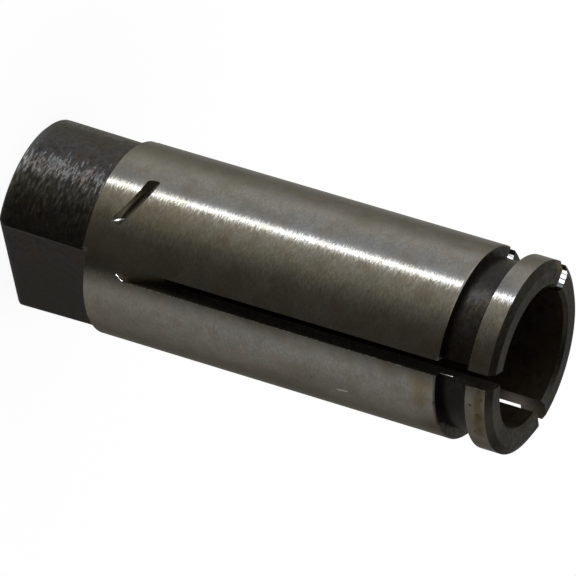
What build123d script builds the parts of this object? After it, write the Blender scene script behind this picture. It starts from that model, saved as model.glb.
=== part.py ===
from build123d import *
from math import cos, hypot, radians, sin, sqrt, tan
import os

# Tap collet: a one-piece split sleeve. It grips a hand tap by its round shank
# and drives it by its square. All sizes are in millimetres.
# The axis is +Z: the tang's rear face lies on Z = 0 and the nose points up.
# Angles turn from +X, which is square to the first flat of the tang.

# Bore for the tap's shank
shank_diameter = 13.77
shank_clearance = 0.05
bore_depth = 40.0
mouth_chamfer = 0.35
drill_point_angle = 118.0

# Ground body round the bore
body_wall = 2.615
body_length = 38.1
edge_break = 0.12

# Socket for the tap's square, broached through the tang
tap_square = 10.31
square_clearance = 0.1
socket_corner_radius = 0.4

# Tang: a step below the body, turned with a slight flare towards its rear face
tang_length = 9.35
tang_step = 0.445
tang_flare = 0.14
tang_rear_chamfer = 0.25

# Two flats on the tang, milled a little past the shoulder into the body, with
# a bevel along the rear edge of each
flat_wall = 1.94
flat_overrun = 0.57
flat_bevel_length = 0.7
flat_bevel_depth = 0.47

# Groove behind the nose, and the collar that closes it
groove_width = 3.06
groove_depth = 1.14
collar_length = 2.65
nose_chamfer_length = 0.47
nose_chamfer_depth = 0.79

# Long slots, sawn from the nose through one wall each
slot_count = 3
first_slot_angle = -32.0
slot_width = 1.5
slot_length = 39.7
saw_diameter = 31.75
saw_overcut = 1.9

# Short slot near the tang: a small disc cutter plunged in a tilted plane.
# Its lead is the turn from the plane's highest line to the slot's middle.
oblique_height = 13.3
oblique_angle = -75.0
oblique_tilt = 47.5
oblique_lead = 20.0
oblique_width = 0.85
oblique_cutter_diameter = 7.0
oblique_depth = 1.9

# Radii and heights that follow from them
bore_radius = (shank_diameter + shank_clearance) / 2
body_radius = bore_radius + body_wall
tang_root_radius = body_radius - tang_step
tang_rear_radius = tang_root_radius + tang_flare
groove_radius = body_radius - groove_depth
nose_radius = body_radius - nose_chamfer_depth
socket_width = tap_square + square_clearance
tang_across_flats = socket_width + 2 * flat_wall
body_front = tang_length + body_length
collar_rear = body_front + groove_width
nose_height = collar_rear + collar_length
bore_floor = nose_height - bore_depth
drill_point = bore_radius / tan(radians(drill_point_angle / 2))

# Both turned outlines are drawn in the plane of the first slot
turning_plane = Plane.XZ.rotated((0, 0, first_slot_angle))

with BuildPart() as collet:
    # Turned outline: tang, body, groove and collar
    with BuildSketch(turning_plane):
        with BuildLine():
            Polyline(
                (0, 0),
                (tang_rear_radius - tang_rear_chamfer, 0),
                (tang_rear_radius, tang_rear_chamfer),
                (tang_root_radius, tang_length),
                (body_radius - edge_break, tang_length),
                (body_radius, tang_length + edge_break),
                (body_radius, body_front - edge_break),
                (body_radius - edge_break, body_front),
                (groove_radius, body_front),
                (groove_radius, collar_rear),
                (body_radius - edge_break, collar_rear),
                (body_radius, collar_rear + edge_break),
                (body_radius, nose_height - nose_chamfer_length),
                (nose_radius, nose_height),
                (0, nose_height),
                close=True,
            )
        make_face()
    revolve(axis=Axis.Z)

    # Bore from the nose, with its chamfered mouth and the cone left by the drill
    with BuildSketch(turning_plane):
        with BuildLine():
            Polyline(
                (0, bore_floor - drill_point),
                (bore_radius, bore_floor),
                (bore_radius, nose_height - mouth_chamfer),
                (bore_radius + mouth_chamfer, nose_height),
                (0, nose_height),
                close=True,
            )
        make_face()
    revolve(axis=Axis.Z, mode=Mode.SUBTRACT)

    # Square socket from the rear face up to the bore
    with BuildSketch(Plane.XY):
        RectangleRounded(socket_width, socket_width, socket_corner_radius)
    extrude(amount=bore_floor, mode=Mode.SUBTRACT)

    # Flats: everything beyond them is milled off, on both sides. The bevel's line
    # is drawn on past the rear face by its own length.
    flat_x = tang_across_flats / 2
    flat_top = tang_length + flat_overrun
    with BuildSketch(Plane.XZ):
        with BuildLine():
            Polyline(
                (flat_x - 2 * flat_bevel_depth, -flat_bevel_length),
                (flat_x, flat_bevel_length),
                (flat_x, flat_top),
                (2 * body_radius, flat_top),
                (2 * body_radius, -flat_bevel_length),
                close=True,
            )
        make_face()
        mirror(about=Plane.YZ)
    extrude(amount=2 * body_radius, both=True, mode=Mode.SUBTRACT)

    # Long slots: the saw runs in from the nose, just through the wall, and stops
    # at slot_length, so its round edge leaves a ramp at the rear end of each slot
    saw_radius = saw_diameter / 2
    saw_depth = body_wall + saw_overcut
    saw_floor = body_radius - saw_depth
    saw_reach = sqrt(saw_radius**2 - (saw_radius - saw_depth) ** 2)
    saw_stop = nose_height - slot_length + saw_reach
    for number in range(slot_count):
        slot_angle = first_slot_angle + number * 360 / slot_count
        with BuildSketch(Plane.XZ.rotated((0, 0, slot_angle))):
            with Locations((saw_floor + saw_radius, saw_stop)):
                Circle(saw_radius)
            with Locations((saw_floor, saw_stop)):
                Rectangle(saw_radius, slot_length, align=(Align.MIN, Align.MIN))
        extrude(amount=slot_width / 2, both=True, mode=Mode.SUBTRACT)

    # Oblique slot. Its plane cuts the body in an ellipse, and the cutter is
    # plunged square to that ellipse at the slot's middle.
    tilt = radians(oblique_tilt)
    lead = radians(oblique_lead)
    axis_crossing = oblique_height - body_radius * cos(lead) * tan(tilt)
    middle_x = body_radius * cos(lead) / cos(tilt)
    middle_y = body_radius * sin(lead)
    square_x = cos(lead) * cos(tilt)
    square_y = sin(lead)
    cutter_radius = oblique_cutter_diameter / 2
    retreat = (cutter_radius - oblique_depth) / hypot(square_x, square_y)
    highest_angle = oblique_angle - oblique_lead
    oblique_plane = Plane(
        origin=(0, 0, axis_crossing),
        x_dir=Vector(cos(tilt), 0, sin(tilt)).rotate(Axis.Z, highest_angle),
        z_dir=Vector(-sin(tilt), 0, cos(tilt)).rotate(Axis.Z, highest_angle),
    )
    with BuildSketch(oblique_plane):
        with Locations((middle_x + retreat * square_x, middle_y + retreat * square_y)):
            Circle(cutter_radius)
    extrude(amount=oblique_width / 2, both=True, mode=Mode.SUBTRACT)

collet.part.label = "collet"

os.makedirs("parts", exist_ok=True)
export_step(collet.part, "parts/collet.step")
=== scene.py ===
# Tap collet in ground and blacked tool steel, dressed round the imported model.
import bpy
import bmesh
from math import cos, hypot, pi, radians, sin, sqrt, tan
from mathutils import Matrix, Vector


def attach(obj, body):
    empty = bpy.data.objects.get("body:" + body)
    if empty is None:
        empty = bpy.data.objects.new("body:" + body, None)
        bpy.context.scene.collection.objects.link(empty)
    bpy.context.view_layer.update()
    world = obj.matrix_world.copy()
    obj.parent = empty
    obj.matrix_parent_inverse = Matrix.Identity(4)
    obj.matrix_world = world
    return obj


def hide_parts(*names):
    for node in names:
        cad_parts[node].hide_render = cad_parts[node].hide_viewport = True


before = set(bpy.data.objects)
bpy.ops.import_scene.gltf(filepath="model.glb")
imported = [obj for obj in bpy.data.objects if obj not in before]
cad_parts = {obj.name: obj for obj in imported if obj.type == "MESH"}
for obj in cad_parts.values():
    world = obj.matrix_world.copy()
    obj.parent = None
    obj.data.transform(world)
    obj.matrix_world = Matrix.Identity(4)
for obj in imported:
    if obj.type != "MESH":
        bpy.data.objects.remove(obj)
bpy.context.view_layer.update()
mm = 0.001  # one millimetre in scene units
print("frame loaded")


def colour(hexCode):
    # sRGB hex value as a linear colour
    parts = [int(hexCode[i:i + 2], 16) / 255 for i in (1, 3, 5)]
    return [p / 12.92 if p <= 0.04045 else ((p + 0.055) / 1.055) ** 2.4 for p in parts] + [1]


def addNode(tree, kind, inputs=None, **settings):
    # one node with its settings, and its inputs as values or links, by name or number.
    # Of a Map Range, 1 and 2 are the range that is read, 3 and 4 the range that is given.
    node = tree.nodes.new("ShaderNode" + kind)
    for name, value in settings.items():
        setattr(node, name, value)
    for socket, value in (inputs or {}).items():
        if isinstance(value, bpy.types.NodeSocket):
            tree.links.new(value, node.inputs[socket])
        else:
            node.inputs[socket].default_value = value
    return node


def fillRamp(node, stops):
    # colour stops as {place: hex colour}
    ramp = node.color_ramp
    places = sorted(stops)
    while len(ramp.elements) < len(places):
        ramp.elements.new(0.5)
    for element, place in zip(ramp.elements, places):
        element.position = place
    for element, place in zip(ramp.elements, places):
        element.color = colour(stops[place])
    return node


# The camera stands where the photograph was taken, and is rolled so that the
# upright collet lies across the picture. Degrees, and mm for the lens and the places.
view = dict(lens=500, sensor=36, azimuth=36.3, elevation=22.66, roll=106.66,
            distance=762.7, aimHeight=27.05, aimAside=0.28)

turnedView = Matrix.Rotation(radians(view["azimuth"]), 4, "Z")
camera = bpy.data.cameras.new("camera")
camera.lens = view["lens"]
camera.sensor_width = view["sensor"]
camera.clip_start, camera.clip_end = 0.01, 20  # metres
cameraObject = bpy.data.objects.new("camera", camera)
aim = turnedView @ Vector((view["aimAside"] * mm, 0, 0)) + Vector((0, 0, view["aimHeight"] * mm))
looking = turnedView @ Matrix.Rotation(radians(90 - view["elevation"]), 4, "X")
standing = Matrix.Translation(aim + looking @ Vector((0, 0, view["distance"] * mm)))
cameraObject.matrix_world = standing @ looking @ Matrix.Rotation(radians(view["roll"]), 4, "Z")
bpy.context.scene.collection.objects.link(cameraObject)
bpy.context.scene.camera = cameraObject
print("camera placed")


# Form of the collet, in mm and degrees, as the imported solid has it
form = dict(
    boreRadius=6.91, bodyRadius=9.525, tangRootRadius=9.08, tangRearRadius=9.22,
    grooveRadius=8.385, noseRadius=8.735,
    tangLength=9.35, bodyFront=47.45, collarRear=50.51, noseHeight=53.16,
    boreFloor=13.16, drillPointAngle=118, pilotRadius=3.0,
    edgeBreak=0.12, tangRearChamfer=0.25, noseChamferLength=0.47, mouthChamfer=0.35,
    socketWidth=10.41, socketCornerRadius=0.4,
    acrossFlats=14.29, flatOverrun=0.57, flatBevelLength=0.7, flatBevelDepth=0.47,
    turnSteps=480,  # spans round every turned surface
)
# The long slots
longSlot = dict(count=3, firstAngle=-32, width=1.5, length=39.7, sawDiameter=31.75,
                depth=4.515, rimRounding=0.7, steps=90,
                taperStart=0.1, taperLength=3.6)  # the tip is cut on a slant, mm
# and the short oblique one near the tang
shortSlot = dict(height=13.3, highestAngle=-95, tilt=47.5, lead=20, width=0.85,
                 cutterDiameter=7.0, depth=1.9, rimRounding=0.25, steps=160)
clear = 2  # mm that a cutter reaches past the piece
finish = dict(ground=0, turned=1, faced=2, milled=3, sawn=4, rubbed=5, bored=6, burr=7)

# Burrs that the saws pushed up, shown with painted glints: near-white bare slivers whose
# normals are turned to the lamp so that they flash. One is raised, across the short slot's
# lower end; the others are only painted along the first slot, each between two places
# given by radius, angle from +X and height.
burrsAndGlints = dict(
    radius=9.5, angle=-61.3, height=12.22, halfLength=0.72, thickness=0.1, turn=26,
    facing=-83.2, colour="#f6f7f6", dullColour="#8d8f8c", rough=0.3,
    slivers=[((9.525, -30.7, 13.33), (9.525, -29.0, 13.75), 0.05),
             ((9.525, -29.0, 13.75), (9.525, -27.9, 14.05), 0.1),
             ((8.385, -26.8, 47.5), (8.385, -26.8, 48.7), 0.1)],
)


def meshObject(name, bm, materials):
    mesh = bpy.data.meshes.new(name)
    bm.to_mesh(mesh)
    bm.free()
    for material in materials:
        mesh.materials.append(material)
    made = bpy.data.objects.new(name, mesh)
    bpy.context.scene.collection.objects.link(made)
    return made


def turnedBlank():
    # outside and bore as one closed outline of radius and height, spun round the axis
    f = form
    cone = (f["boreRadius"] - f["pilotRadius"]) / tan(radians(f["drillPointAngle"] / 2))
    outline = [
        (f["pilotRadius"], 0),
        (f["tangRearRadius"] - f["tangRearChamfer"], 0),
        (f["tangRearRadius"], f["tangRearChamfer"]),
        (f["tangRootRadius"], f["tangLength"]),
        (f["bodyRadius"] - f["edgeBreak"], f["tangLength"]),
        (f["bodyRadius"], f["tangLength"] + f["edgeBreak"]),
        (f["bodyRadius"], f["bodyFront"] - f["edgeBreak"]),
        (f["bodyRadius"] - f["edgeBreak"], f["bodyFront"]),
        (f["grooveRadius"], f["bodyFront"]),
        (f["grooveRadius"], f["collarRear"]),
        (f["bodyRadius"] - f["edgeBreak"], f["collarRear"]),
        (f["bodyRadius"], f["collarRear"] + f["edgeBreak"]),
        (f["bodyRadius"], f["noseHeight"] - f["noseChamferLength"]),
        (f["noseRadius"], f["noseHeight"]),
        (f["boreRadius"] + f["mouthChamfer"], f["noseHeight"]),
        (f["boreRadius"], f["noseHeight"] - f["mouthChamfer"]),
        (f["boreRadius"], f["boreFloor"]),
        (f["pilotRadius"], f["boreFloor"] - cone),
    ]
    bm = bmesh.new()
    verts = [bm.verts.new((radius, 0, height)) for radius, height in outline]
    edges = [bm.edges.new(pair) for pair in zip(verts, verts[1:] + verts[:1])]
    bmesh.ops.spin(bm, geom=verts + edges, axis=(0, 0, 1), cent=(0, 0, 0), dvec=(0, 0, 0),
                   angle=2 * pi, steps=f["turnSteps"], use_merge=True)
    bmesh.ops.remove_doubles(bm, verts=bm.verts, dist=1e-4)
    bmesh.ops.recalc_face_normals(bm, faces=bm.faces)
    for face in bm.faces:
        centre = face.calc_center_median()
        radius = hypot(centre.x, centre.y)
        if radius > f["bodyRadius"] - f["edgeBreak"]:
            surface = "ground"
        elif radius < f["boreRadius"] + 0.01 and centre.z > f["tangRearChamfer"]:
            surface = "bored"
        elif centre.z > f["bodyFront"] - f["edgeBreak"]:
            surface = "faced"
        else:
            surface = "turned"
        face.material_index = finish[surface]
    return bm


def block(low, high):
    # a plain cutting block between two corners
    bm = bmesh.new()
    bmesh.ops.create_cube(bm, size=1)
    low, high = Vector(low), Vector(high)
    bmesh.ops.scale(bm, vec=high - low, verts=bm.verts)
    bmesh.ops.translate(bm, vec=(low + high) / 2, verts=bm.verts)
    return bm


def socketCutter():
    half = form["socketWidth"] / 2
    bm = block((-half, -half, -clear), (half, half, form["boreFloor"]))
    upright = [e for e in bm.edges if abs(e.verts[0].co.z - e.verts[1].co.z) > 1]
    bmesh.ops.bevel(bm, geom=upright, offset=form["socketCornerRadius"], segments=8,
                    profile=0.5, affect="EDGES", material=-1)
    return bm


def flatCutter(side):
    # what is milled off beyond one flat, with the bevel along its rear edge
    f = form
    flatX, flatTop = f["acrossFlats"] / 2, f["tangLength"] + f["flatOverrun"]
    far = f["bodyRadius"] + clear
    outline = [
        (flatX - 2 * f["flatBevelDepth"], -f["flatBevelLength"]),
        (flatX, f["flatBevelLength"]),
        (flatX, flatTop),
        (far, flatTop),
        (far, -f["flatBevelLength"]),
    ]
    bm = bmesh.new()
    face = bm.faces.new([bm.verts.new((x * side, -far, z)) for x, z in outline])
    grown = bmesh.ops.extrude_face_region(bm, geom=[face])
    moved = [v for v in grown["geom"] if isinstance(v, bmesh.types.BMVert)]
    bmesh.ops.translate(bm, vec=(0, 2 * far, 0), verts=moved)
    bmesh.ops.recalc_face_normals(bm, faces=bm.faces)
    return bm


def longSlotCutter(angle):
    # side view of the saw's path: a quarter of its edge, then straight up through the nose
    saw = longSlot["sawDiameter"] / 2
    floor = form["bodyRadius"] - longSlot["depth"]
    reach = sqrt(saw ** 2 - (saw - longSlot["depth"]) ** 2)
    stop = form["noseHeight"] - longSlot["length"] + reach
    outside, top = floor + saw, form["noseHeight"] + clear
    side = -longSlot["width"] / 2
    bm = bmesh.new()
    start = bm.verts.new((floor, side, stop))
    swept = bmesh.ops.spin(bm, geom=[start], axis=(0, 1, 0), cent=(outside, 0, stop),
                           dvec=(0, 0, 0), angle=-pi / 2, steps=longSlot["steps"])
    last = [v for v in swept["geom_last"] if isinstance(v, bmesh.types.BMVert)][0]
    corners = [last, bm.verts.new((outside, side, top)), bm.verts.new((floor, side, top)), start]
    for pair in zip(corners, corners[1:]):
        bm.edges.new(pair)
    bmesh.ops.edgeloop_fill(bm, edges=bm.edges)
    grown = bmesh.ops.extrude_face_region(bm, geom=bm.faces[:])
    moved = [v for v in grown["geom"] if isinstance(v, bmesh.types.BMVert)]
    bmesh.ops.translate(bm, vec=(0, longSlot["width"], 0), verts=moved)
    bmesh.ops.recalc_face_normals(bm, faces=bm.faces)

    # the corners of the saw's edge are rounded, as wear leaves them
    walls = [f for f in bm.faces if abs(f.normal.y) > 0.9]
    rim = [e for wall in walls for e in wall.edges
           if max(v.co.x for v in e.verts) < outside or max(v.co.z for v in e.verts) < stop]
    bmesh.ops.bevel(bm, geom=rim, offset=longSlot["rimRounding"], segments=6, profile=0.5,
                    affect="EDGES", material=-1)

    # and its tip is cut on a slant
    tip = (0, longSlot["taperStart"], form["noseHeight"] - longSlot["length"])
    slant = (0, longSlot["taperLength"], longSlot["taperStart"] - side)
    everything = bm.verts[:] + bm.edges[:] + bm.faces[:]
    sliced = bmesh.ops.bisect_plane(bm, geom=everything, plane_co=tip, plane_no=slant,
                                    clear_inner=True)
    opened = [e for e in sliced["geom_cut"] if isinstance(e, bmesh.types.BMEdge)]
    bmesh.ops.edgeloop_fill(bm, edges=opened)
    bmesh.ops.recalc_face_normals(bm, faces=bm.faces)
    bmesh.ops.rotate(bm, cent=(0, 0, 0), matrix=Matrix.Rotation(radians(angle), 3, "Z"),
                     verts=bm.verts)
    return bm


def shortSlotCutter():
    # a thin disc in the slot's tilted plane, pushed in to its depth at the slot's middle
    tilt, lead = radians(shortSlot["tilt"]), radians(shortSlot["lead"])
    radius = shortSlot["cutterDiameter"] / 2
    body = form["bodyRadius"]
    square = Vector((cos(lead) * cos(tilt), sin(lead), 0)).normalized()
    middle = Vector((body * cos(lead) / cos(tilt), body * sin(lead), 0))
    crossing = shortSlot["height"] - body * cos(lead) * tan(tilt)
    plane = (Matrix.Translation((0, 0, crossing))
             @ Matrix.Rotation(radians(shortSlot["highestAngle"]), 4, "Z")
             @ Matrix.Rotation(-tilt, 4, "Y"))
    bm = bmesh.new()
    bmesh.ops.create_cone(bm, cap_ends=True, segments=shortSlot["steps"], radius1=radius,
                          radius2=radius, depth=shortSlot["width"])
    rim = [e for e in bm.edges if abs(e.verts[0].co.z - e.verts[1].co.z) < 0.001]
    bmesh.ops.bevel(bm, geom=rim, offset=shortSlot["rimRounding"], segments=4, profile=0.5,
                    affect="EDGES", material=-1)
    bmesh.ops.translate(bm, vec=middle + square * (radius - shortSlot["depth"]), verts=bm.verts)
    bmesh.ops.transform(bm, matrix=plane, verts=bm.verts)
    return bm


def raisedBurr():
    # the sliver of metal that the small cutter left across the lower end of its slot
    b = burrsAndGlints
    bm = bmesh.new()
    bmesh.ops.create_uvsphere(bm, u_segments=24, v_segments=16, radius=1)
    bmesh.ops.scale(bm, vec=(b["thickness"], b["thickness"], b["halfLength"]), verts=bm.verts)
    bmesh.ops.rotate(bm, cent=(0, 0, 0), matrix=Matrix.Rotation(radians(b["turn"]), 3, "X"),
                     verts=bm.verts)
    bmesh.ops.translate(bm, vec=(b["radius"], 0, b["height"]), verts=bm.verts)
    bmesh.ops.rotate(bm, cent=(0, 0, 0), matrix=Matrix.Rotation(radians(b["angle"]), 3, "Z"),
                     verts=bm.verts)
    return bm


def workPiece(piece, steps):
    # cuts each shape out of the piece, or joins it on, with its faces in their own finish
    for number, (operation, cutter, surface) in enumerate(steps):
        for face in cutter.faces:
            face.material_index = finish[surface]
        tool = meshObject(f"cutter{number}", cutter, piece.data.materials)
        cut = piece.modifiers.new(tool.name, "BOOLEAN")
        cut.operation, cut.solver, cut.object = operation, "EXACT", tool
    solid = piece.evaluated_get(bpy.context.evaluated_depsgraph_get())
    mesh = bpy.data.meshes.new_from_object(solid)
    for cut in list(piece.modifiers):
        tool = cut.object
        piece.modifiers.remove(cut)
        bpy.data.objects.remove(tool)
    piece.data = mesh


def onCollet(radius, angle, height):
    # a place on the collet in mm, by its radius, angle from +X and height
    return (radius * cos(radians(angle)), radius * sin(radians(angle)), height)


def startMaterial(name):
    # an empty node tree, and the place on the piece in mm
    material = bpy.data.materials.new(name)
    material.use_nodes = True
    tree = material.node_tree
    tree.nodes.clear()
    place = addNode(tree, "TexCoord").outputs["Object"]
    inMm = addNode(tree, "VectorMath", {0: place, "Scale": 1000}, operation="SCALE").outputs[0]
    return material, tree, inMm


core = 0.3  # share of the size of a spot or sliver over which it has its full strength


def noise(tree, place, width, length=None, detail=2):
    # a noise whose lumps are width mm along the collet and length mm round it
    length = length or width
    scaled = addNode(tree, "Mapping", {
        "Vector": place, "Scale": (1 / length, 1 / length, 1 / width)}).outputs[0]
    lumps = addNode(tree, "TexNoise", {"Vector": scaled, "Scale": 1, "Detail": detail})
    return lumps.outputs["Fac"]


def spot(tree, place, centre, radius):
    # 1 round a place on the piece, falling to 0 at radius mm from it
    away = addNode(tree, "VectorMath", {0: place, 1: centre}, operation="DISTANCE")
    return addNode(tree, "MapRange", {
        0: away.outputs["Value"], 1: radius, 2: radius * core}).outputs[0]


def sliver(tree, place, start, end, width):
    # 1 along a line between two places, falling to 0 at width mm from it
    along = Vector(end) - Vector(start)
    fromStart = addNode(tree, "VectorMath", {0: place, 1: start}, operation="SUBTRACT").outputs[0]
    part = addNode(tree, "VectorMath", {0: fromStart, 1: along / along.length_squared},
                   operation="DOT_PRODUCT").outputs["Value"]
    onLine = addNode(tree, "MapRange", {0: part}).outputs[0]
    nearest = addNode(tree, "VectorMath", {0: along, "Scale": onLine}, operation="SCALE").outputs[0]
    away = addNode(tree, "VectorMath", {0: fromStart, 1: nearest}, operation="DISTANCE")
    return addNode(tree, "MapRange", {
        0: away.outputs["Value"], 1: width, 2: width * core}).outputs[0]


def fromAxis(tree, place):
    # distance from the collet's axis in mm
    level = addNode(tree, "VectorMath", {0: place, 1: (1, 1, 0)}, operation="MULTIPLY").outputs[0]
    return addNode(tree, "VectorMath", {0: level}, operation="LENGTH").outputs["Value"]


def laid(tree, below, mask, hexCode, low=0.0, high=1.0, share=1.0):
    # a colour laid over another: none where the mask is low, up to share where it is high
    where = addNode(tree, "MapRange", {0: mask, 1: low, 2: high, 4: share}).outputs[0]
    return addNode(tree, "Mix", {"Factor": where, "A": below, "B": colour(hexCode)},
                   data_type="RGBA").outputs["Result"]


def stainedAndShaded(tree, place, tone, stains):
    # stains, and patches of painted light and shade, at places on the piece, each as (radius,
    # angle, height), size in mm, colour, share
    for where, size, hexCode, share in stains:
        tone = laid(tree, tone, spot(tree, place, onCollet(*where), size), hexCode, share=share)
    return tone


def streaked(tree, place, tone, streaks, hexCode, share):
    # thin streaks of one colour, each as (start, end, width in mm)
    for start, end, width in streaks:
        streak = sliver(tree, place, onCollet(*start), onCollet(*end), width)
        tone = laid(tree, tone, streak, hexCode, share=share)
    return tone


def mottled(tree, place, tone, patches):
    # soft patches of other colours, each as (colour, size in mm, share)
    for number, (hexCode, size, share) in enumerate(patches):
        elsewhere = (number * 37, 11, number * 5)  # so that no two kinds of patch coincide
        moved = addNode(tree, "VectorMath", {0: place, 1: elsewhere}, operation="ADD").outputs[0]
        lumps = noise(tree, moved, size, detail=3)
        tone = laid(tree, tone, lumps, hexCode, low=0.48, high=0.68, share=share)
    return tone


def leaning(tree, lines, slope):
    # the surface's normal, leaned round the collet by up to a slope, one way or the other
    normal = addNode(tree, "NewGeometry").outputs["Normal"]
    around = addNode(tree, "Tangent", direction_type="RADIAL", axis="Z").outputs[0]
    swing = addNode(tree, "MapRange", {0: lines, 1: 0.25, 2: 0.75, 3: -slope, 4: slope}).outputs[0]
    lean = addNode(tree, "VectorMath", {0: around, "Scale": swing}, operation="SCALE").outputs[0]
    leant = addNode(tree, "VectorMath", {0: normal, 1: lean}, operation="ADD").outputs[0]
    return addNode(tree, "VectorMath", {0: leant}, operation="NORMALIZE").outputs[0]


def facing(tree, normal, share, angle):
    # a normal turned to face one way round the collet where share is high
    turned = addNode(tree, "Mix", {"Factor": share, "A": normal, "B": onCollet(1, angle, 0)},
                     data_type="VECTOR").outputs["Result"]
    return addNode(tree, "VectorMath", {0: turned}, operation="NORMALIZE").outputs[0]


def metal(material, tree, tone, rough, normal, **settings):
    # the shader of every finish: a metal with the usual IOR
    shader = addNode(tree, "BsdfPrincipled", {
        "Base Color": tone, "Metallic": 1, "Roughness": rough, "Normal": normal, **settings})
    addNode(tree, "OutputMaterial", {"Surface": shader.outputs[0]})
    return material


def burrGlintMask(tree, place):
    # 1 on the bright slivers along the first slot, which are painted glints
    mask = 0.0
    for start, end, width in burrsAndGlints["slivers"]:
        here = sliver(tree, place, onCollet(*start), onCollet(*end), width)
        mask = addNode(tree, "Math", {0: mask, 1: here}, operation="MAXIMUM").outputs[0]
    return mask


def glintingBareBurr():
    # torn bare steel with a painted glint: near white round its middle, where its normal is turned
    # to the lamp
    material, tree, place = startMaterial("bareTornSteelGlint")
    middle = spot(tree, place, onCollet(burrsAndGlints["radius"], burrsAndGlints["angle"], burrsAndGlints["height"]),
                  burrsAndGlints["halfLength"] * 0.6)
    tone = laid(tree, colour(burrsAndGlints["dullColour"]), middle, burrsAndGlints["colour"])
    flat = addNode(tree, "NewGeometry").outputs["Normal"]
    normal = facing(tree, flat, middle, burrsAndGlints["facing"])
    return metal(material, tree, tone, burrsAndGlints["rough"], normal)


# Hardened steel, ground to size on a cylindrical grinder: a grey metal with fine
# lines round it, so that every light is drawn out into a streak along the sleeve.
# Oil has left it faintly olive, brown and blue in patches, more so towards the tang,
# and it has rust spots and a brown film on the collar below the first slot.
groundLook = dict(
    base="#8c8a83", line="#5f5d57",
    patches=[("#65604a", 3.0, 0.42), ("#72594a", 1.4, 0.28), ("#757a80", 2.0, 0.3)],
    rough=0.22, anisotropy=0.7,
    lineWidth=0.15, lineLength=0.5, lineSlope=0.03, grain=0.2,  # mm, coarser than real so they show
    oil=dict(colour="#6a6340", low=34, high=12, share=0.2),  # more of it towards the tang
    # a painted highlight along the first slot's lower edge: its colour, width in mm, and where it
    # begins in dots
    edgeGlint="#c4c5c2", edgeGlintWidth=0.06,  # bare line along the first slot's lower edge, mm,
    edgeGlintFrom=13.9, edgeGlintTo=14.5, edgeGlintDots=0.3,  # which begins in dots between these heights
    # stains: place as (radius, angle, height), size, colour and share
    stains=[((9.525, -10, 51.9), 4.2, "#524b36", 0.62), ((9.525, -72, 17.2), 2.8, "#6b6338", 0.2),
            ((9.525, -34, 10.4), 1.6, "#3c372b", 0.2), ((9.525, -62, 10.4), 1.3, "#45423a", 0.3),
            ((9.525, 16, 47.2), 2.2, "#3a372e", 0.6), ((9.525, 16, 32.5), 4.0, "#5b5540", 0.4),
            ((9.525, -20, 46.0), 1.7, "#6d5c36", 0.5), ((9.525, -9, 46.0), 1.4, "#6a552f", 0.5)],
    scratch="#c4c2bc", scratches=[((9.525, 4.6, 36.95), (9.525, 3.7, 37.95), 0.16)],
    # painted shade: a dark band along the body's front rim and its edge break, where it drops into
    # the groove
    dirt="#2b2924", edges=[((9.525, -27, 47.5), (9.525, -9, 47.5), 0.34),
                           ((9.525, -9, 47.5), (9.525, 10, 47.5), 0.36)],
    rust="#3a2a10", raggedness=0.35,  # rust spots: angle, height and size
    rustSpots=[(-10, 51.9, 0.3), (-21, 52.3, 0.25), (4, 51.4, 0.3), (-15.6, 51.2, 0.25),
               (-83.6, 14.5, 0.35), (-80, 14.5, 0.22), (-9, 46.0, 0.15), (0.2, 34.3, 0.2),
               (-9.8, 40.0, 0.17)],
    ochre="#4c4124", cloudiness=0.9,  # runs of thinner rust across the collar
    runs=[((9.525, -24, 51.9), (9.525, -8, 52.1), 0.7),
          ((9.525, -8, 52.1), (9.525, 6, 51.9), 0.8)],
)


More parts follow.
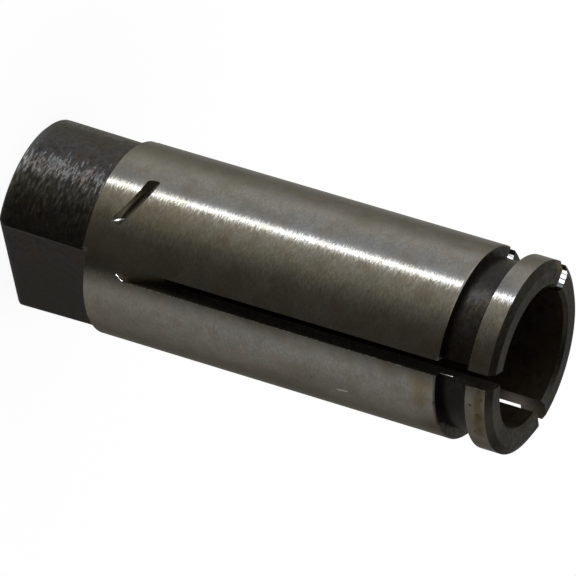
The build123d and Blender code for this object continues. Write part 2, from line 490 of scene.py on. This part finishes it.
def groundSteel():
    look = groundLook
    material, tree, place = startMaterial("groundToolSteel")
    lines = noise(tree, place, look["lineWidth"], look["lineLength"], 3)
    tone = mottled(tree, place, colour(look["base"]), look["patches"])
    xyz = addNode(tree, "SeparateXYZ", {0: place})
    oil = look["oil"]
    tone = laid(tree, tone, xyz.outputs[2], oil["colour"], oil["low"], oil["high"], oil["share"])
    tone = laid(tree, tone, lines, look["line"], low=0.35, high=0.7, share=0.35)
    grain = noise(tree, place, look["grain"])
    tone = laid(tree, tone, grain, look["line"], low=0.4, high=0.7, share=0.3)
    tone = stainedAndShaded(tree, place, tone, look["stains"])

    ragged = addNode(tree, "MapRange", {
        0: noise(tree, place, look["raggedness"], detail=3), 1: 0.4, 2: 0.6}).outputs[0]
    for angle, height, size in look["rustSpots"]:
        rusty = spot(tree, place, onCollet(form["bodyRadius"], angle, height), size)
        rusty = addNode(tree, "Math", {0: rusty, 1: ragged}, operation="MULTIPLY").outputs[0]
        tone = laid(tree, tone, rusty, look["rust"])
    cloudy = noise(tree, place, look["cloudiness"], detail=3)
    for start, end, width in look["runs"]:
        run = sliver(tree, place, onCollet(*start), onCollet(*end), width)
        run = addNode(tree, "Math", {0: run, 1: cloudy}, operation="MULTIPLY").outputs[0]
        tone = laid(tree, tone, run, look["ochre"], low=0.1, high=0.7, share=0.8)
    tone = streaked(tree, place, tone, look["scratches"], look["scratch"], share=0.9)
    # painted shade along the body's front rim
    tone = streaked(tree, place, tone, look["edges"], look["dirt"], share=0.85)

    # painted highlight: a light dotted line, its normal turned to the lamp, where the first slot's
    # plane meets the outside, on that side of the axis only
    acrossSlot = radians(longSlot["firstAngle"] + 90)
    beside = addNode(tree, "VectorMath", {0: place, 1: (cos(acrossSlot), sin(acrossSlot), 0)},
                     operation="DOT_PRODUCT").outputs["Value"]
    edge = addNode(tree, "Math", {0: beside, 1: longSlot["width"] / 2, 2: look["edgeGlintWidth"]},
                   operation="COMPARE").outputs[0]
    nearSide = addNode(tree, "MapRange", {0: xyz.outputs[0]}).outputs[0]
    pastTip = addNode(tree, "MapRange", {
        0: xyz.outputs[2], 1: look["edgeGlintFrom"], 2: look["edgeGlintTo"]}).outputs[0]
    dotted = addNode(tree, "MapRange", {
        0: noise(tree, place, look["edgeGlintDots"], detail=1), 1: 0.5, 2: 0.6, 4: 0.6}).outputs[0]
    for part in (nearSide, pastTip, dotted):
        edge = addNode(tree, "Math", {0: edge, 1: part}, operation="MULTIPLY").outputs[0]
    # the painted highlight line, laid light here and turned to the lamp below
    tone = laid(tree, tone, edge, look["edgeGlint"])
    # painted glints: the burr slivers, laid near white, with their normals turned to the lamp below
    burr = burrGlintMask(tree, place)
    tone = laid(tree, tone, burr, burrsAndGlints["colour"])
    bare = addNode(tree, "Math", {0: burr, 1: edge}, operation="MAXIMUM").outputs[0]
    normal = facing(tree, leaning(tree, lines, look["lineSlope"]), bare, burrsAndGlints["facing"])
    tangent = addNode(tree, "Tangent", direction_type="RADIAL", axis="Z").outputs[0]
    quarterTurn = 0.25  # lays the stretched highlights across the lines
    return metal(material, tree, tone, look["rough"], normal, **{
        "Anisotropic": look["anisotropy"], "Anisotropic Rotation": quarterTurn,
        "Tangent": tangent})


# Steel blacked with a hot oxide: a satin black with a little brown and blue in it.
# The tang keeps the lathe's lines, which break up the highlight into short bright
# strokes, and has a painted highlight, a lighter band, along its rear edge. The groove
# and the nose are smoother; the groove is painted darker as shade, its highlight dimmed,
# and the nose face has a painted lighter patch on the lower jaw and darker patches
# elsewhere. The flats are milled and duller, with a painted highlight where they meet the round.
blackLook = dict(
    patches=[("#483930", 1.6, 0.35), ("#363b44", 1.1, 0.45), ("#23221f", 0.7, 0.45)],
    grain=0.3, dirt="#201e1a",
    # Of these, the three at height 49 darken the groove as painted shade, one of them over its
    # highlight; the one at angle -2 is a painted lighter patch on the lower jaw's nose face; the
    # brown one at -145 is rust; the rest only darken the nose face and the tang.
    stains=[((8.4, 8, 49), 7.5, "#1b1a17", 0.9), ((8.4, -118, 49), 6, "#23211d", 0.45),
            ((9.1, -145, 53), 1.4, "#7a6036", 0.75), ((9.3, -2, 52.9), 3.5, "#615d56", 0.55),
            ((8.385, -83, 49), 3.6, "#2b2925", 0.2), ((7.8, 150, 53.1), 5.5, "#24221b", 0.6),
            ((7.3, -26.4, 53.16), 0.75, "#1c1b18", 0.95), ((8.7, 36, 4.5), 9, "#292823", 0.5)],
)
# Each finish: its colour, its roughness, the size and slope of its marks, in mm and
# coarser than real so that they show, and the tone that it turns to at the rear face
# and where the flats meet the round. The tang's lighter rear band and the flats' lighter
# line where they meet the round are painted highlights.
blackFinishes = dict(
    turned=dict(base="#454440", rough=0.26, markWidth=0.26, markLength=0.85, markSlope=0.19,
                rear="#5a5d59", rearHeight=1.1),
    faced=dict(base="#3c3a35", rough=0.34, markWidth=0.2, markLength=0.7, markSlope=0.09),
    milled=dict(base="#373630", rough=0.4, markWidth=0.3, markLength=0.3, markSlope=0.03,
                rear="#201e1a", rearHeight=0.7, corner="#6a6962", cornerFrom=9.0, cornerTo=9.1),
)


def blackedSteel(kind):
    look, surface = blackLook, blackFinishes[kind]
    material, tree, place = startMaterial(f"blackOxide{kind.title()}")
    tone = mottled(tree, place, colour(surface["base"]), look["patches"])
    grain = noise(tree, place, look["grain"])
    tone = laid(tree, tone, grain, look["dirt"], low=0.4, high=0.65, share=0.3)
    tone = stainedAndShaded(tree, place, tone, look["stains"])
    # painted highlight: the tang turns lighter towards its rear face; the flats turn darker there
    if "rear" in surface:
        height = addNode(tree, "SeparateXYZ", {0: place}).outputs[2]
        tone = laid(tree, tone, height, surface["rear"], low=surface["rearHeight"], high=0.2,
                    share=0.7)
    # painted highlight: a lighter line where the flats meet the round
    if "corner" in surface:
        tone = laid(tree, tone, fromAxis(tree, place), surface["corner"],
                    low=surface["cornerFrom"], high=surface["cornerTo"], share=0.25)
    # painted glints of the burr slivers, near white and turned to the lamp
    burr = burrGlintMask(tree, place)
    tone = laid(tree, tone, burr, burrsAndGlints["colour"])
    marks = noise(tree, place, surface["markWidth"], surface["markLength"], 2)
    normal = facing(tree, leaning(tree, marks, surface["markSlope"]), burr, burrsAndGlints["facing"])
    return metal(material, tree, tone, surface["rough"], normal)


# Sawn steel, blacked and full of old oil: nearly black, with brown and blue in it.
# It is painted lighter, as painted light, inside the slots near where the saw ran out
# and where the jaw faces the mouth.
sawnLook = dict(
    base="#48443b", patches=[("#4b3620", 1.2, 0.5), ("#2a2f38", 0.9, 0.45)],
    rough=0.55, grain=0.25, grainSlope=0.15,  # mm, coarser than the saw's real marks
    # the first two patches and the last are painted light inside the slots; the brown and blue ones
    # are rust and temper colour
    stains=[((9.0, -32, 14.5), 11, "#777263", 1), ((8.6, -75, 13.2), 4.0, "#857f70", 1),
            ((9.3, -83.5, 14.9), 0.9, "#6b4213", 1), ((9.3, -82, 13.9), 0.6, "#2a3350", 1),
            ((7.4, 94, 50.6), 2.3, "#7c7671", 1)],
)


def sawnSteel():
    look = sawnLook
    material, tree, place = startMaterial("oiledSawnSteel")
    tone = mottled(tree, place, colour(look["base"]), look["patches"])
    tone = stainedAndShaded(tree, place, tone, look["stains"])
    normal = leaning(tree, noise(tree, place, look["grain"]), look["grainSlope"])
    return metal(material, tree, tone, look["rough"], normal)


# The third slot, where the jaws have rubbed the black away: bare light grey steel
# with the saw's marks as thin darker lines, and black near the outside. Between the
# marks its normal is turned to the lamp, a painted reflection that makes the wall shine.
rubbedLook = dict(bare="#c6cac8", mark="#7f8f96", black="#2e2d2a", oiled="#4a463c", rough=0.3,
                  pitch=0.5, rise=0.12, markWidth=0.12, markShare=0.5,
                  blackFrom=8.95, blackTo=9.1, oiledFrom=7.4, oiledTo=7.3)


def rubbedGlintingSteel():
    look = rubbedLook
    material, tree, place = startMaterial("rubbedSawnSteelGlint")
    slotAngle = radians(longSlot["firstAngle"] + 2 * 360 / longSlot["count"])
    acrossMarks = (cos(slotAngle), sin(slotAngle), look["rise"])
    outward = addNode(tree, "VectorMath", {0: place, 1: acrossMarks}, operation="DOT_PRODUCT")
    wave = addNode(tree, "Math", {0: outward.outputs["Value"], 1: look["pitch"] / 2},
                   operation="PINGPONG").outputs[0]
    marks = addNode(tree, "MapRange", {
        0: wave, 1: look["markWidth"], 2: 0.0, 4: look["markShare"]}).outputs[0]
    radius = fromAxis(tree, place)
    tone = laid(tree, colour(look["bare"]), marks, look["mark"])
    tone = laid(tree, tone, radius, look["black"], look["blackFrom"], look["blackTo"])
    tone = laid(tree, tone, radius, look["oiled"], look["oiledFrom"], look["oiledTo"])
    outer = addNode(tree, "MapRange", {
        0: radius, 1: look["blackTo"], 2: look["blackFrom"]}).outputs[0]
    inner = addNode(tree, "MapRange", {
        0: radius, 1: look["oiledTo"], 2: look["oiledFrom"]}).outputs[0]
    rubbed = addNode(tree, "Math", {0: outer, 1: inner}, operation="MULTIPLY").outputs[0]
    rubbed = addNode(tree, "Math", {0: rubbed, 1: marks}, operation="SUBTRACT",
                     use_clamp=True).outputs[0]
    # painted reflection: between the saw marks the normal is turned to the lamp
    flat = addNode(tree, "NewGeometry").outputs["Normal"]
    normal = facing(tree, flat, rubbed, burrsAndGlints["facing"])
    return metal(material, tree, tone, look["rough"], normal)


# The bore, reamed and stained brown by oil: dull, with brown and darker patches
boreLook = dict(base="#504a3d", patches=[("#50391f", 1.6, 0.45), ("#302d28", 1.2, 0.7)],
                rough=0.5, grain=0.4, grainSlope=0.1)  # mm, coarser than the reamer's real marks


def boredSteel():
    look = boreLook
    material, tree, place = startMaterial("stainedReamedSteel")
    tone = mottled(tree, place, colour(look["base"]), look["patches"])
    normal = leaning(tree, noise(tree, place, look["grain"]), look["grainSlope"])
    return metal(material, tree, tone, look["rough"], normal)


materials = [groundSteel(), blackedSteel("turned"), blackedSteel("faced"), blackedSteel("milled"),
             sawnSteel(), rubbedGlintingSteel(), boredSteel(), glintingBareBurr()]  # in the order of finish
collet = meshObject("colletBody", turnedBlank(), materials)
slotTurn = 360 / longSlot["count"]
slotAngles = [longSlot["firstAngle"] + n * slotTurn for n in range(longSlot["count"])]
workPiece(collet, [
    ("DIFFERENCE", socketCutter(), "milled"),
    ("DIFFERENCE", flatCutter(1), "milled"),
    ("DIFFERENCE", flatCutter(-1), "milled"),
    ("DIFFERENCE", shortSlotCutter(), "sawn"),
    ("DIFFERENCE", longSlotCutter(slotAngles[0]), "sawn"),
    ("DIFFERENCE", longSlotCutter(slotAngles[1]), "sawn"),
    ("DIFFERENCE", longSlotCutter(slotAngles[2]), "rubbed"),
    ("UNION", raisedBurr(), "burr"),
])
collet.data.transform(Matrix.Scale(mm, 4))
collet.data.shade_smooth()
collet.data.set_sharp_from_angle(angle=radians(20))  # turned faces smooth, corners crisp
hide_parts("collet")
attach(collet, "root")
print("collet cut:", len(collet.data.vertices), "points", len(collet.data.polygons), "faces")


# Studio: a white floor, a white world, and a dark side where the room behind the
# camera is. The metal mirrors low directions, so the floor is left out of its
# reflections and the world below the horizon stands in for it.
studio = dict(
    cameraSide=view["azimuth"] - 90,  # direction of the camera, in degrees from +X
    floorSize=6, shadowShare=0.1,  # the share of the floor's white that a shadow can darken
    upperWallTone=1.35, upperWallFrom=0.15, upperWallTo=0.3,
    ceilingTone=0.35, ceilingFrom=0.84, ceilingTo=0.96,
    stripTurn=-58.7, stripDistance=1.0, stripWidth=0.08, stripLow=-0.9, stripHigh=0.0,
    stripPower=2.7, stripTint="#eef3ff",
)

justBelow = -0.00002  # so that the floor and the tang's face don't share a plane
bpy.ops.mesh.primitive_plane_add(size=studio["floorSize"], location=(0, 0, justBelow))
floor = bpy.context.object
floor.name = "floor"
floor.visible_glossy = False
floor.visible_shadow = False
floorPaint = bpy.data.materials.new("whitePaper")
floorPaint.use_nodes = True
tree = floorPaint.node_tree
tree.nodes.clear()
rays = addNode(tree, "LightPath")
paper = addNode(tree, "BsdfDiffuse", {"Color": (1, 1, 1, 1)})
white = addNode(tree, "Emission", {"Strength": 1})
seen = addNode(tree, "Math", {0: rays.outputs["Is Camera Ray"], 1: 1 - studio["shadowShare"]},
               operation="MULTIPLY")
mixed = addNode(tree, "MixShader", {0: seen.outputs[0], 1: paper.outputs[0], 2: white.outputs[0]})
addNode(tree, "OutputMaterial", {"Surface": mixed.outputs[0]})
floor.data.materials.append(floorPaint)

# What the metal mirrors, by direction round the collet: 0.5 is the camera's side
roomTones = {0.0: "#84837c", 0.055: "#979590", 0.11: "#918f83", 0.165: "#bbb8ae",
             0.22: "#f8f7f4", 0.30: "#e1e4eb", 0.32: "#dfe5f2", 0.352: "#ece3cf",
             0.385: "#dad7cd", 0.433: "#aca797",
             0.456: "#8e8b7f", 0.5: "#6b6860", 0.55: "#605d57", 0.63: "#4d4b45",
             0.668: "#acaca9", 0.7: "#cfd0d0", 0.78: "#bbb7b5", 0.833: "#9f9b94",
             0.89: "#75716a", 0.945: "#68665e", 1.0: "#84837c"}
world = bpy.data.worlds.new("studio")
bpy.context.scene.world = world
world.use_nodes = True
world.cycles.sampling_method = "NONE"
tree = world.node_tree
tree.nodes.clear()
direction = addNode(tree, "TexCoord").outputs["Generated"]
turnedBack = addNode(tree, "Mapping", {
    "Vector": direction, "Rotation": (0, 0, -radians(studio["cameraSide"]))}).outputs[0]
roundIt = addNode(tree, "TexGradient", {"Vector": turnedBack}, gradient_type="RADIAL")
room = fillRamp(addNode(tree, "ValToRGB", {"Fac": roundIt.outputs["Fac"]}), roomTones)
upward = addNode(tree, "SeparateXYZ", {0: direction}).outputs[2]
upperWall = addNode(tree, "MapRange", {
    0: upward, 1: studio["upperWallFrom"], 2: studio["upperWallTo"],
    3: 1, 4: studio["upperWallTone"]}).outputs[0]
ceiling = addNode(tree, "MapRange", {
    0: upward, 1: studio["ceilingFrom"], 2: studio["ceilingTo"],
    3: 1, 4: studio["ceilingTone"]}).outputs[0]
above = addNode(tree, "Math", {0: upperWall, 1: ceiling}, operation="MULTIPLY").outputs[0]
rays = addNode(tree, "LightPath")
plain = addNode(tree, "Background", {"Color": (1, 1, 1, 1), "Strength": 1})
mirrored = addNode(tree, "Background", {"Color": room.outputs["Color"], "Strength": above})
mixed = addNode(tree, "MixShader", {0: rays.outputs["Is Glossy Ray"], 1: plain.outputs[0],
                                    2: mirrored.outputs[0]})
addNode(tree, "OutputWorld", {"Surface": mixed.outputs[0]})

# The lamp whose streak runs along the sleeve: tall, narrow and below the floor's level,
# because the metal mirrors low directions. The floor doesn't shade the collet from it.
strip = bpy.data.lights.new("stripLight", "AREA")
strip.shape = "RECTANGLE"
strip.size, strip.size_y = studio["stripWidth"], studio["stripHigh"] - studio["stripLow"]
strip.energy = studio["stripPower"]
strip.color = colour(studio["stripTint"])[:3]
stripObject = bpy.data.objects.new("stripLight", strip)
stripTurn = radians(studio["cameraSide"] + studio["stripTurn"])
stripPlace = Vector((cos(stripTurn), sin(stripTurn), 0)) * studio["stripDistance"]
stripPlace.z = (studio["stripHigh"] + studio["stripLow"]) / 2
stripObject.matrix_world = (Matrix.Translation(stripPlace)
                            @ Matrix.Rotation(stripTurn + pi / 2, 4, "Z")
                            @ Matrix.Rotation(pi / 2, 4, "X"))
stripObject.visible_camera = False
bpy.context.scene.collection.objects.link(stripObject)
print("studio lit")

bpy.context.scene.view_settings.view_transform = "Standard"
